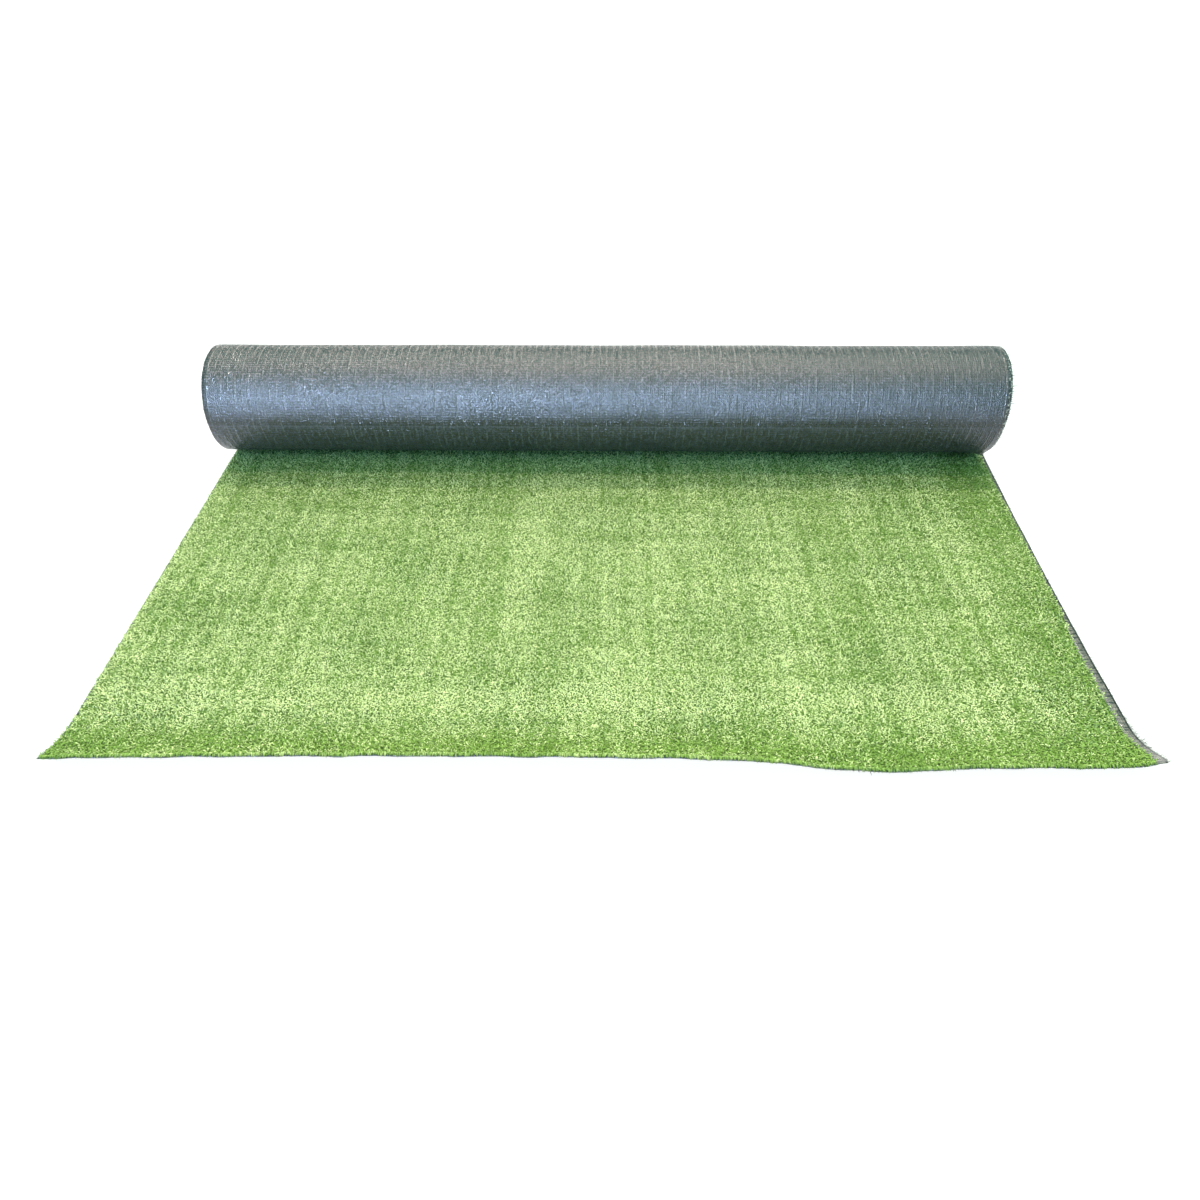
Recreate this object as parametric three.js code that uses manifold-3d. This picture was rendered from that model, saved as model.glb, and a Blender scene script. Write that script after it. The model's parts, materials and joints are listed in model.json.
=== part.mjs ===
// Roll of artificial grass: a tufted sheet two metres wide, wound with its pile inwards,
// with about a metre of it laid open and its cut front edge curling up.
// Millimetres, +Z up. X runs along the roll, and the laid stretch lies towards -Y.
import * as THREE from 'three';
import { mergeVertices } from 'three/addons/utils/BufferGeometryUtils.js';
import Module from 'manifold-3d';

// Driving dimensions of the sheet
const sheetWidth = 2000;
const sheetLength = 7000;
const laidLength = 1082;
const backingThickness = 2;
const pileHeight = 7;
const boreRadius = 42.5;
const seatGap = 0.3;

// Bare backing beside the pile: a narrow strip on the left, and a selvedge that widens on the right
const leftMargin = 4;
const selvedgeAtRoll = 8;
const selvedgeAtFront = 20;
const selvedgeWidensFrom = 640;
const selvedgeWidensOver = 100;

// The open pile's solid: its top is where the curled yarn lies dense, and it swells and dips in patches
const pileDenseShare = 0.8;
const patchSwell = 0.9;
const patchAcross = 58;
const patchAlong = 44;
const patchSkewAcross = 160;
const patchSkewAlong = 210;

// The front edge's curl: how long the curling stretch is, how high it rises, and how steeply it ends
const curlLength = 130;
const curlRise = 44.5;
const curlPower = 2.2;
const curlCrownAt = -50;
const curlFallToSide = 15;
const sagAt = 500;
const sagDepth = 17.5;
const sagHalfWidth = 160;
const cornerLift = 10.5;
const cornerLiftWidth = 100;

// How finely the round and curling faces are divided
const chordError = 0.6;
const curlSteps = 9;
const acrossSteps = 24;
const boreSides = 32;

// Sizes that follow: the length that is wound makes the roll as fat as it is
const turnPitch = backingThickness + pileHeight;
const halfWidth = sheetWidth / 2;
const woundLength = sheetLength - laidLength;
const innerTurnRadius = boreRadius + turnPitch;
const rollRadius = Math.sqrt(innerTurnRadius ** 2 + (turnPitch * woundLength) / Math.PI);
const windingAngle = (2 * Math.PI * (rollRadius - innerTurnRadius)) / turnPitch;
const curlStart = laidLength - curlLength;
const joinLap = 2 * backingThickness;
const facetWidth = sheetWidth / acrossSteps;
// The outermost turn comes down to the laid pile and clears it at this angle before the roll's lowest line
const nipAngle = Math.acos(1 - (2 * seatGap) / (rollRadius - turnPitch));

const backingMaterial = new THREE.MeshStandardMaterial({ color: '#7d858c', roughness: 0.6, metalness: 0 });
const pileMaterial = new THREE.MeshStandardMaterial({ color: '#9cc06c', roughness: 0.7, metalness: 0 });

const wasm = await Module();
wasm.setup();

// A closed geometry as a manifold solid
function toSolid(geometry) {
  geometry.deleteAttribute('normal');
  geometry.deleteAttribute('uv');
  const merged = mergeVertices(geometry, 1e-4);
  return new wasm.Manifold(new wasm.Mesh({
    numProp: 3,
    vertProperties: new Float32Array(merged.attributes.position.array),
    triVerts: new Uint32Array(merged.index.array),
  }));
}

function toGeometry(solid) {
  const mesh = solid.getMesh();
  const geometry = new THREE.BufferGeometry();
  geometry.setAttribute('position', new THREE.BufferAttribute(new Float32Array(mesh.vertProperties), 3));
  geometry.setIndex(new THREE.BufferAttribute(new Uint32Array(mesh.triVerts), 1));
  geometry.computeVertexNormals();
  return geometry;
}

// A section drawn in the YZ plane, carried along X from one place to another
function alongX(section, from, to) {
  const geometry = new THREE.ExtrudeGeometry(section, { depth: to - from, steps: 1, bevelEnabled: false });
  const turned = new THREE.Matrix4().makeBasis(
    new THREE.Vector3(0, 1, 0), new THREE.Vector3(0, 0, 1), new THREE.Vector3(1, 0, 0));
  geometry.applyMatrix4(turned);
  geometry.translate(from, 0, 0);
  return geometry;
}

// A point of the winding: the angle runs from the roll's lowest line round the back, and the radius
// shrinks by one turn's thickness a turn. Depth is how far the point lies inside the backing's outer face.
function windingPoint(angle, depth) {
  const radius = rollRadius - (turnPitch * angle) / (2 * Math.PI) - depth;
  return new THREE.Vector2(radius * Math.sin(angle), rollRadius - radius * Math.cos(angle));
}

// Angles along the winding, spaced so that each chord stays within the chord error of the curve
function windingAngles(from, to) {
  const angles = [from];
  for (let angle = from; angle < to;) {
    const radius = rollRadius - (turnPitch * angle) / (2 * Math.PI);
    angle = Math.min(to, angle + Math.sqrt((8 * chordError) / radius));
    angles.push(angle);
  }
  return angles;
}

// The wound backing: one band from the roll's lowest line to the bore, at the sheet's full width
function woundBand() {
  const angles = windingAngles(0, windingAngle);
  const outside = angles.map((angle) => windingPoint(angle, 0));
  const inside = angles.map((angle) => windingPoint(angle, backingThickness)).reverse();
  const lead = [new THREE.Vector2(-joinLap, backingThickness), new THREE.Vector2(-joinLap, 0)];
  return alongX(new THREE.Shape([...lead, ...outside, ...inside]), -halfWidth, halfWidth);
}

// The pile packed between the turns: the roll's whole section with its bore, short of the bare margins
function packedTurns() {
  const middle = backingThickness / 2;
  const lastAngle = 2 * Math.PI - nipAngle;
  const outline = windingAngles(0, lastAngle).map((angle) => windingPoint(angle, middle));
  const nip = outline[outline.length - 1];
  const section = new THREE.Shape([...outline, new THREE.Vector2(nip.x, middle)]);
  const bore = new THREE.Path();
  bore.setFromPoints(boreOutline());
  section.holes.push(bore);
  return alongX(section, -halfWidth + leftMargin, halfWidth - selvedgeAtRoll);
}

function boreOutline() {
  const points = [];
  for (let side = 0; side < boreSides; side++) {
    const angle = (2 * Math.PI * side) / boreSides;
    points.push(new THREE.Vector2(boreRadius * Math.cos(angle), rollRadius + boreRadius * Math.sin(angle)));
  }
  return points;
}

// How high the front edge has curled at a place across the sheet: a low crown, a sag and a lifted corner
function curlRiseAt(x) {
  const crown = curlRise - curlFallToSide * ((x - curlCrownAt) / halfWidth) ** 2;
  const sag = sagDepth * Math.exp(-(((x - sagAt) / sagHalfWidth) ** 2));
  const corner = cornerLift * Math.exp(-(((x - halfWidth) / cornerLiftWidth) ** 2));
  return crown - sag + corner;
}

// How far above the backing's underside the open pile's top lies: two slanting waves make its patches
function pileTopAt(x, along) {
  const acrossWave = Math.sin(x / patchAcross + along / patchSkewAlong);
  const alongWave = Math.sin(along / patchAlong - x / patchSkewAcross);
  return backingThickness + pileHeight * pileDenseShare + (patchSwell * (acrossWave + alongWave)) / 2;
}

// The same rise along the straight facets that both layers share, so that they lie parallel
function facetRiseAt(x) {
  const left = Math.floor(x / facetWidth) * facetWidth;
  return THREE.MathUtils.lerp(curlRiseAt(left), curlRiseAt(left + facetWidth), (x - left) / facetWidth);
}

// A point of the laid stretch: how far along the sheet from the roll's lowest line, and how far above
// its underside, square to it. The curl is a power curve whose reach is shortened by what it rises.
function laidPoint(x, along, above) {
  const rise = facetRiseAt(x);
  const shortening = (rise ** 2 * curlPower ** 2) / (2 * (2 * curlPower - 1) * curlLength);
  const reach = curlLength - shortening;
  const curled = Math.max(0, along - curlStart) / curlLength;
  const slope = Math.atan((curlPower * rise * curled ** (curlPower - 1)) / reach);
  const y = -(Math.min(along, curlStart) + reach * curled) + above * Math.sin(slope);
  const z = rise * curled ** curlPower + above * Math.cos(slope);
  return new THREE.Vector3(x, y, z);
}

function selvedgeAt(along) {
  const widened = THREE.MathUtils.clamp((along - selvedgeWidensFrom) / selvedgeWidensOver, 0, 1);
  return selvedgeAtRoll + (selvedgeAtFront - selvedgeAtRoll) * widened;
}

// One layer of the laid stretch: a box divided across and along the sheet, then laid into place.
// It can start short of the roll's lowest line and leave its sides bare. The box of an upper layer is made
// turned by a quarter, so that its lower facets have the same diagonals as the facets that they lie on.
function laidLayer({ underside, topsideAt, upper = false, from = 0, leftBare = 0, rightBareAt = () => 0 }) {
  const stations = [from, selvedgeWidensFrom, selvedgeWidensFrom + selvedgeWidensOver];
  for (let along = facetWidth; upper && along < curlStart; along += facetWidth) {
    stations.push(along);
  }
  for (let step = 0; step <= curlSteps; step++) {
    stations.push(curlStart + (curlLength * step) / curlSteps);
  }
  stations.sort((one, other) => one - other);
  const alongSteps = stations.length - 1;
  const geometry = upper
    ? new THREE.BoxGeometry(1, 1, 1, alongSteps, acrossSteps, 1).rotateZ(Math.PI / 2)
    : new THREE.BoxGeometry(1, 1, 1, acrossSteps, alongSteps, 1);
  const position = geometry.attributes.position;
  for (let index = 0; index < position.count; index++) {
    const along = stations[Math.round((0.5 - position.getY(index)) * alongSteps)];
    const station = sheetWidth * position.getX(index);
    const x = THREE.MathUtils.clamp(station, -halfWidth + leftBare, halfWidth - rightBareAt(along));
    const above = position.getZ(index) < 0 ? underside : topsideAt(x, along);
    const point = laidPoint(x, along, above);
    position.setXYZ(index, point.x, point.y, point.z);
  }
  return toSolid(geometry);
}

// The backing: wound band, packed turns and the laid stretch, one sheet from the bore to the front edge
function backing() {
  const laid = laidLayer({ underside: 0, topsideAt: () => backingThickness });
  const solid = toSolid(woundBand()).add(toSolid(packedTurns())).add(laid);
  const mesh = new THREE.Mesh(toGeometry(solid), backingMaterial);
  mesh.name = 'turf_backing';
  return mesh;
}

// The open pile of the laid stretch, from the front edge back to where the roll lies on it
function pile() {
  const nip = windingPoint(2 * Math.PI - nipAngle, backingThickness / 2);
  const solid = laidLayer({
    underside: backingThickness + seatGap,
    topsideAt: pileTopAt,
    upper: true,
    from: seatGap - nip.x,
    leftBare: leftMargin,
    rightBareAt: selvedgeAt,
  });
  const mesh = new THREE.Mesh(toGeometry(solid), pileMaterial);
  mesh.name = 'turf_pile';
  return mesh;
}

const turfRoll = new THREE.Group();
turfRoll.add(backing(), pile());

// The origin is on the floor, in the middle of the footprint
const footprint = new THREE.Box3().setFromObject(turfRoll);
turfRoll.position.y = -(footprint.min.y + footprint.max.y) / 2;
turfRoll.updateMatrixWorld(true);

export default turfRoll;
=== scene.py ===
"""Looks of a roll of artificial grass: woven backing, curled pile, frayed edges and a plain studio."""

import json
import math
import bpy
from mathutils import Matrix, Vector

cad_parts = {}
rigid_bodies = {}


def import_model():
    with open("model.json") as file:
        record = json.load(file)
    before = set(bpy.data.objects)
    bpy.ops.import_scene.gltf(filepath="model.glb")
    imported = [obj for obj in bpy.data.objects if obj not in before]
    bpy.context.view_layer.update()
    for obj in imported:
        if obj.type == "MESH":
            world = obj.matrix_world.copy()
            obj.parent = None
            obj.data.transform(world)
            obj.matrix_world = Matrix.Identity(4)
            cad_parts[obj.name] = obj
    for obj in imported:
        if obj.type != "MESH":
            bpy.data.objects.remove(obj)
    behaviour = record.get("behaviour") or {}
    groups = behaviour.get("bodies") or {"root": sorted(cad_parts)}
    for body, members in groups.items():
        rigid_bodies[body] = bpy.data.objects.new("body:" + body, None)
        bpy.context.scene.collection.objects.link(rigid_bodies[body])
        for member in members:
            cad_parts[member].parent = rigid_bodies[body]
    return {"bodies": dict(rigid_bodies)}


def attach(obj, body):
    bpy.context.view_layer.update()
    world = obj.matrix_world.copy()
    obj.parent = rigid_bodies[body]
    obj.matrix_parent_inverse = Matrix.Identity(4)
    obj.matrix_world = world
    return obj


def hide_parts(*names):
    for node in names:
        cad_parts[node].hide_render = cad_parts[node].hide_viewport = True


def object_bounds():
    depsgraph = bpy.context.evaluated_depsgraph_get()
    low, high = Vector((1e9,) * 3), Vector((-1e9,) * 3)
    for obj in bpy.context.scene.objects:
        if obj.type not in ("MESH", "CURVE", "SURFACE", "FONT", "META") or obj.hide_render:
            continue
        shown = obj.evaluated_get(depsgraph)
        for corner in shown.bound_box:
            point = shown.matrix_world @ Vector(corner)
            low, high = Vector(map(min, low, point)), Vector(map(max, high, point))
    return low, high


bl_info = {
    "name": "Roll of artificial grass",
    "version": (1, 0, 0),
    "blender": (4, 5, 0),
    "location": "View3D > Sidebar > Turf roll",
    "description": "Dresses a turf roll with its woven backing, curled pile and frayed edges",
    "category": "Object",
}

import bpy
import numpy as np
from bpy.props import FloatProperty, FloatVectorProperty, IntProperty, PointerProperty
from mathutils import Matrix, Vector

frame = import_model()
CAD_LOW, CAD_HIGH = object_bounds()
BODY = next(iter(frame["bodies"]))
TURN = 2 * math.pi

# The weave's repeats in metres: back-stitch rows, stitches in a row, bright ridges and cross yarns
STITCH_ROWS_APART = 0.0050
STITCHES_APART = 0.0066
RIDGES_APART = 0.0178
CROSS_YARNS_APART = 0.0041

# Where the bare selvedge, its outermost yarns and the roll's pale rim start, across from the middle
SELVEDGE_FROM = 0.978
OUTER_YARNS_FROM = 0.9955
RIM_FROM = 0.9910

# Where warm light is painted on the roll's top, and where the crease low on its front has its
# painted shadow, dark line and shine, as distances into the roll
PAINTED_WARM_LIGHT_AT = 0.42
CREASE_SHADE_AT = 0.6270
CREASE_AT = 0.6340
CREASE_SHINE_AT = 0.6455

# How far in from the side edges their sideways bow has faded away
BOW_FADE = 0.30

# Worn places of the open pile: where each is across and along, its sizes, and how much lighter it is
TREAD_MARKS = (
    (0.796, 0.912, 0.018, 0.018, -0.22),
    (0.831, 0.936, 0.016, 0.020, -0.22),
    (0.915, 0.959, 0.030, 0.018, -0.16),
    (0.862, 0.934, 0.022, 0.016, 0.26),
    (0.350, 0.841, 0.160, 0.006, -0.16),
)

# Where along a loose yarn end its three stations lie, from root to tip
END_STATIONS = np.array([0.0, 0.5, 1.0])

# How far apart the two corners of one station stand in the map that the bake uses
BAKE_NUDGE = 0.004

# The warm colour of the far lamps
LAMP_TINT = (1.0, 0.94, 0.86)


def length(name, description, value, smallest=0.0):
    """A length in metres that a user may change."""
    return FloatProperty(
        name=name, description=description, default=value, min=smallest, unit="LENGTH", precision=4
    )


def colour(name, description, value):
    """A scene-linear colour that a user may change."""
    return FloatVectorProperty(
        name=name, description=description, default=value, size=3, min=0, max=1, subtype="COLOR"
    )


class TurfSheet(bpy.types.PropertyGroup):
    """The sheet's sizes, as the frame has them."""

    width: length("Width", "Width of the sheet", CAD_HIGH.x - CAD_LOW.x)
    whole: length("Length", "Whole length of the sheet, laid and wound", 7.0)
    laid: length("Laid length", "Length that lies open in front of the roll", 1.082)
    backing: length("Backing", "Thickness of the backing", 0.002)
    pile: length("Pile", "Height of the pile above the backing", 0.007)
    bore: length("Bore radius", "Radius of the hole that the innermost turn leaves", 0.0425)
    patch_swell: length("Patch swell", "How far the pile's top swells and dips in patches", 0.0009)
    patch_across: length("Patch across", "Size of the pile's patches across the sheet", 0.058)
    patch_along: length("Patch along", "Size of the pile's patches along the sheet", 0.044)
    patch_skew_across: length("Patch skew across", "How the long waves slant", 0.160)
    patch_skew_along: length("Patch skew along", "How the cross waves slant", 0.210)
    left_margin: length("Left margin", "Bare backing on the left", 0.004)
    selvedge_roll: length("Selvedge at the roll", "Bare backing on the right at the roll", 0.008)
    selvedge_front: length("Selvedge at the front", "Bare backing on the right at the front", 0.020)
    selvedge_from: length("Selvedge widens from", "Distance from the roll where it widens", 0.640)
    selvedge_over: length("Selvedge widens over", "Length over which it widens", 0.100)
    curl: length("Curl length", "Length of the front that curls up", 0.130)
    curl_rise: length("Curl rise", "Highest rise of the front edge", 0.0445)
    curl_power: FloatProperty(
        name="Curl power", description="How late the curl turns up", default=2.2, min=1.0, max=6.0
    )
    crown_at: FloatProperty(
        name="Crown place", description="Where the curl is highest", default=-0.05, unit="LENGTH"
    )
    crown_fall: length("Crown fall", "How much lower the curl is at a side", 0.015)
    sag_at: length("Sag place", "Where the front edge sags", 0.500)
    sag_depth: length("Sag depth", "How far the front edge sags", 0.0175)
    sag_width: length("Sag half width", "Half width of the sag", 0.160)
    corner_lift: length("Corner lift", "Extra rise of the right corner", 0.0105)
    corner_width: length("Corner width", "Width of the lifted corner", 0.100)


class TurfPile(bpy.types.PropertyGroup):
    """How the yarn is tufted."""

    gauge: length("Gauge", "Distance between tuft rows across the sheet", 0.0048, 0.002)
    stitch: length("Stitch", "Distance between tufts along a row", 0.0054, 0.002)
    yarn_width: length("Yarn width", "Width of a yarn's tape", 0.0017)
    yarns: IntProperty(name="Yarns", description="Tapes in a tuft", default=3, min=1, max=6)
    strips: IntProperty(
        name="Strips", description="Pieces that the open pile is made in", default=4, min=1
    )
    seed: IntProperty(name="Seed", description="Seed of every random draw", default=11)


class TurfColours(bpy.types.PropertyGroup):
    """Colours of yarn and backing."""

    yarn_root: colour("Yarn root", "Yarn colour down in the pile", (0.060, 0.110, 0.020))
    yarn_dark: colour("Yarn dark", "Darkest yarn tips", (0.220, 0.36, 0.060))
    yarn_light: colour("Yarn light", "Lightest yarn tips", (0.96, 1.0, 0.52))
    backing_dark: colour("Backing dark", "Hollows of the weave", (0.006, 0.008, 0.009))
    backing_light: colour("Backing light", "Coated ridges of the weave", (0.142, 0.148, 0.256))
    # Painted warm light: the coating's colour on the roll's top, lit by the warm lamps above.
    backing_painted_warm: colour("Backing painted warm", "Coated ridges with the roll top's painted warm light", (0.232, 0.164, 0.166))
    selvedge: colour("Selvedge", "Cross yarns of the bare selvedge", (0.235, 0.205, 0.180))
    fray: colour("Frayed yarn", "Cut ends of the backing's yarns", (0.72, 0.70, 0.68))


class TurfStudio(bpy.types.PropertyGroup):
    """Camera and lights of the plain studio."""

    camera_height: length("Camera height", "Height of the lens above the floor", 1.2489)
    camera_back: length("Camera distance", "Level distance from the roll's axis", 1.944)
    camera_side: length("Camera side", "How far right of the middle it stands", 0.0329)
    pitch: FloatProperty(name="Pitch", description="Degrees looked down", default=43.27)
    yaw: FloatProperty(name="Yaw", description="Degrees turned to the right", default=-1.376)
    tilt: FloatProperty(name="Tilt", description="Degrees leaned to the right", default=-0.529)
    lens: FloatProperty(name="Lens", description="Focal length on a 36 mm frame", default=24.864)
    floor: colour("Floor", "Colour of the floor", (0.20, 0.20, 0.20))


def bell(value, width):
    """A bell of height one round nought: e to the minus square of value over width."""
    return np.exp(-((value / width) ** 2))


def ramp(value, width):
    """Nought below nought, one above width, and straight between them."""
    return np.clip(value / width, 0, 1)


class Winding:
    """Where the sheet runs, seen from its side. Distances along it are measured from the roll's
    lowest line: positive towards the cut front edge, negative into the roll. Heights above it are
    measured square to the backing's outer face, towards the pile."""

    def __init__(self, sheet):
        self.sheet = sheet
        self.half = sheet.width / 2
        self.pitch = sheet.backing + sheet.pile
        self.wound = sheet.whole - sheet.laid
        inner = sheet.bore + self.pitch
        self.radius = math.sqrt(inner**2 + self.pitch * self.wound / math.pi)
        self.angles = TURN * (self.radius - inner) / self.pitch
        self.axis_y = CAD_HIGH.y - self.radius + self.pitch / 4
        self.curl_start = sheet.laid - sheet.curl

    def rise(self, x):
        """Rise of the front edge: a parabola's crown, less a bell-shaped sag, plus a wide and a narrow
        bell at the right corner, plus a ripple that is the product of two sine waves."""
        s = self.sheet
        crown = s.curl_rise - s.crown_fall * ((x - s.crown_at) / self.half) ** 2
        sag = s.sag_depth * bell(x - s.sag_at, s.sag_width)
        corner = s.corner_lift * bell(x - self.half, s.corner_width)
        tip = 0.007 * bell(x - self.half - 0.01, 0.030)
        ripple = 0.0012 * np.sin(x / 0.021 + 1.3) * np.sin(x / 0.093)
        return crown - sag + (corner + tip) + ripple

    def angle_at(self, back):
        """Winding angle at a distance into the roll: the inverse of radius * angle less half the
        shrink a radian times the angle squared."""
        shrink = self.pitch / TURN
        inside = np.maximum(self.radius**2 - 2 * shrink * np.maximum(back, 0), 0)
        return (self.radius - np.sqrt(inside)) / shrink

    def place(self, x, along, above):
        """Points of the sheet. The laid stretch is flat and then rises as a power curve whose reach is
        shortened by its rise, and the wound one is a spiral that shrinks by one pitch a turn."""
        x, along, above = np.broadcast_arrays(x, along, above)
        x = x + self.bow(x, along)
        s = self.sheet
        rise = self.rise(x)
        shortening = (rise * s.curl_power) ** 2 / (2 * (2 * s.curl_power - 1) * s.curl)
        reach = s.curl - shortening
        curled = np.maximum(along - self.curl_start, 0) / s.curl
        slope = np.arctan(s.curl_power * rise * curled ** (s.curl_power - 1) / reach)
        laid_y = -(np.clip(along, 0, self.curl_start) + reach * curled) + above * np.sin(slope)
        laid_z = rise * curled**s.curl_power + above * np.cos(slope)
        angle = self.angle_at(-along)
        radius = self.radius - self.pitch * angle / TURN - above + self.pucker(x, angle)
        wound_y = radius * np.sin(angle)
        wound_z = self.radius - radius * np.cos(angle)
        open_part = along >= 0
        y = np.where(open_part, laid_y, wound_y) + self.axis_y
        z = np.where(open_part, laid_z, wound_z)
        return np.stack([x, y, z], axis=-1)

    def bow(self, x, along):
        """How far a point moves sideways because the cut edges aren't straight. The laid part's right
        edge bows as a parabola, flares before the curl and is drawn in at the front. The wound part's
        leans as a cosine of the winding angle plus a bell. The move fades as the square of a ramp."""
        angle = self.angle_at(-along)
        bowed = 0.0015 + 0.0105 * ((along - 0.80) / 0.60) ** 2
        flared = 0.006 * ramp(along - 0.98, 0.06)
        drawn_in = 0.010 * ramp(along - self.sheet.laid + 0.030, 0.030) ** 2
        leaning = 0.004 * np.cos(1.2 * (angle - 3.0)) + 0.007 * bell(angle - 0.5, 1.0)
        wound = np.where(angle < TURN, leaning, 0.0)
        right = np.where(along > 0, bowed + flared - drawn_in, wound)
        left = np.where(along > 0, -0.001, 0.003)
        near_right = ramp(x - self.half + BOW_FADE, BOW_FADE) ** 2
        near_left = ramp(-x - self.half + BOW_FADE, BOW_FADE) ** 2
        return right * near_right + left * near_left

    def pucker(self, x, angle):
        """How far the outermost turn stands off the roll: faint sine waves along and round it, growing
        from nothing at the roll's lowest line, a bell over the top, and a fold at the right end low on
        the front, the product of two bells."""
        outer = ramp(angle, 0.6) * ramp(TURN * 1.02 - angle, 0.5)
        waves = 0.0004 * np.sin(x * 9.0 + 2.0 * angle) + 0.0003 * np.sin(x * 23.0 - 3.0 * angle)
        stand = 0.0014 * bell(angle - 2.9, 1.2)
        fold = 0.0075 * bell(x - self.half, 0.018) * bell(angle - 5.75, 0.13)
        return outer * waves + stand + fold

    def swell(self, x, along):
        """How far the open pile's top swells: half the sum of two slanting sine waves."""
        s = self.sheet
        across_wave = np.sin(x / s.patch_across + along / s.patch_skew_along)
        along_wave = np.sin(along / s.patch_along - x / s.patch_skew_across)
        return s.patch_swell * (across_wave + along_wave) / 2 * (np.asarray(along) > 0)

    def right_bare(self, along):
        """Bare backing on the right: a straight ramp from the width at the roll to that in front."""
        s = self.sheet
        widened = ramp(along - s.selvedge_from, s.selvedge_over)
        return s.selvedge_roll + (s.selvedge_front - s.selvedge_roll) * widened


def soft_noise(x, y, size_x, size_y, seed):
    """Smooth random values from -1 to 1: random numbers on a lattice, blended between its corners
    with an S-shaped weight."""
    lattice = np.random.default_rng(seed).uniform(-1, 1, (257, 257))
    u, v = np.asarray(x) / size_x + 64.0, np.asarray(y) / size_y + 64.0
    column, row = np.floor(u).astype(int), np.floor(v).astype(int)
    across, up = u - column, v - row
    across, up = across * across * (3 - 2 * across), up * up * (3 - 2 * up)
    c0, c1, r0, r1 = column % 257, (column + 1) % 257, row % 257, (row + 1) % 257
    low = lattice[r0, c0] * (1 - across) + lattice[r0, c1] * across
    high = lattice[r1, c0] * (1 - across) + lattice[r1, c1] * across
    return low * (1 - up) + high * up


def pile_tone(x, along, seed):
    """How light the pile is, about 0.5: the sum of patches, fine mottling, streaks along the tuft rows,
    bands across them and bells where it is worn, with painted light and shade laid over them: a
    painted fill light in the roll's shadow beside it, a painted lit band before the curl that fades
    to the right, and painted shade as ramps that darken the curl and the right side."""
    patches = 0.060 * soft_noise(x, along, 0.110, 0.090, seed)
    mottle = 0.060 * soft_noise(x, along, 0.030, 0.024, seed + 1)
    streaks = 0.260 * soft_noise(x, along, 0.012, 0.600, seed + 2)
    wide_streaks = 0.085 * soft_noise(x, along, 0.040, 1.300, seed + 3)
    bands = 0.060 * soft_noise(x, along, 0.700, 0.040, seed + 4)
    bands = bands + 0.130 * soft_noise(x, along, 0.200, 0.010, seed + 5)
    # The bell before the curl is a painted lit band, which paler fades towards the right, where the light
    # falls off; the small bell in the middle is a lighter band of the pile itself.
    paler = 1 - 0.8 * ramp(x - 0.15, 0.60)
    middle = 0.05 * bell(along - 0.52, 0.10)
    middle = middle + 0.19 * paler * bell(along - 0.90, 0.055)
    # Painted shade: the curl is darkened where it tilts away from the light.
    curled = 0.50 * ramp(along - 0.950, 0.100)
    # Painted shade: the pile darkens towards the right side, where the light falls off.
    side = 0.12 * ramp(x - 0.45, 0.55) + 0.22 * ramp(x - 0.75, 0.25)
    marks = sum(
        depth * bell(x - at_x, size_x) * bell(along - at_along, size_along)
        for at_x, at_along, size_x, size_along, depth in TREAD_MARKS
    )
    # Painted fill light: the tufts in the roll's shadow, right beside it, are made lighter.
    painted_fill_beside_roll = 0.30 * bell(along - 0.06, 0.045)
    uneven = patches + mottle + streaks + wide_streaks + bands
    return 0.48 + painted_fill_beside_roll + uneven + middle - curled - side + marks


def stand_piece(name, mesh, material):
    """A mesh as an object at the origin with its place in its vertices, riding on the part's body."""
    mesh.materials.append(material)
    piece = bpy.data.objects.new(name, mesh)
    bpy.context.scene.collection.objects.link(piece)
    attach(piece, BODY)
    return piece


def new_piece(name, points, faces, material):
    """A piece from points and faces of any number of sides."""
    mesh = bpy.data.meshes.new(name)
    mesh.from_pydata(points, [], faces)
    return stand_piece(name, mesh, material)


def new_soup(name, points, loops, starts, material):
    """A piece from flat arrays of corner indices and face starts, for very many small faces."""
    mesh = bpy.data.meshes.new(name)
    mesh.vertices.add(len(points))
    mesh.vertices.foreach_set("co", points.astype(np.float32).ravel())
    mesh.loops.add(len(loops))
    mesh.loops.foreach_set("vertex_index", loops.astype(np.int32))
    mesh.polygons.add(len(starts))
    mesh.polygons.foreach_set("loop_start", starts.astype(np.int32))
    mesh.update(calc_edges=True)
    return stand_piece(name, mesh, material)


def add_attribute(piece, name, values):
    """A number for each vertex, for the material to read."""
    attribute = piece.data.attributes.new(name, "FLOAT", "POINT")
    attribute.data.foreach_set("value", values.astype(np.float32).ravel())


def add_map(piece, name, places):
    """A UV map from one place for each vertex."""
    corners = np.empty(len(piece.data.loops), np.int32)
    piece.data.loops.foreach_get("vertex_index", corners)
    layer = piece.data.uv_layers.new(name=name)
    layer.uv.foreach_set("vector", places[corners].astype(np.float32).ravel())


def add_bake_map(piece, across, up):
    """The map that the bake uses, from two shares of its square, kept off the square's border."""
    add_map(piece, "OFBake", np.stack([across, up], -1) * 0.96 + 0.02)


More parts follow.
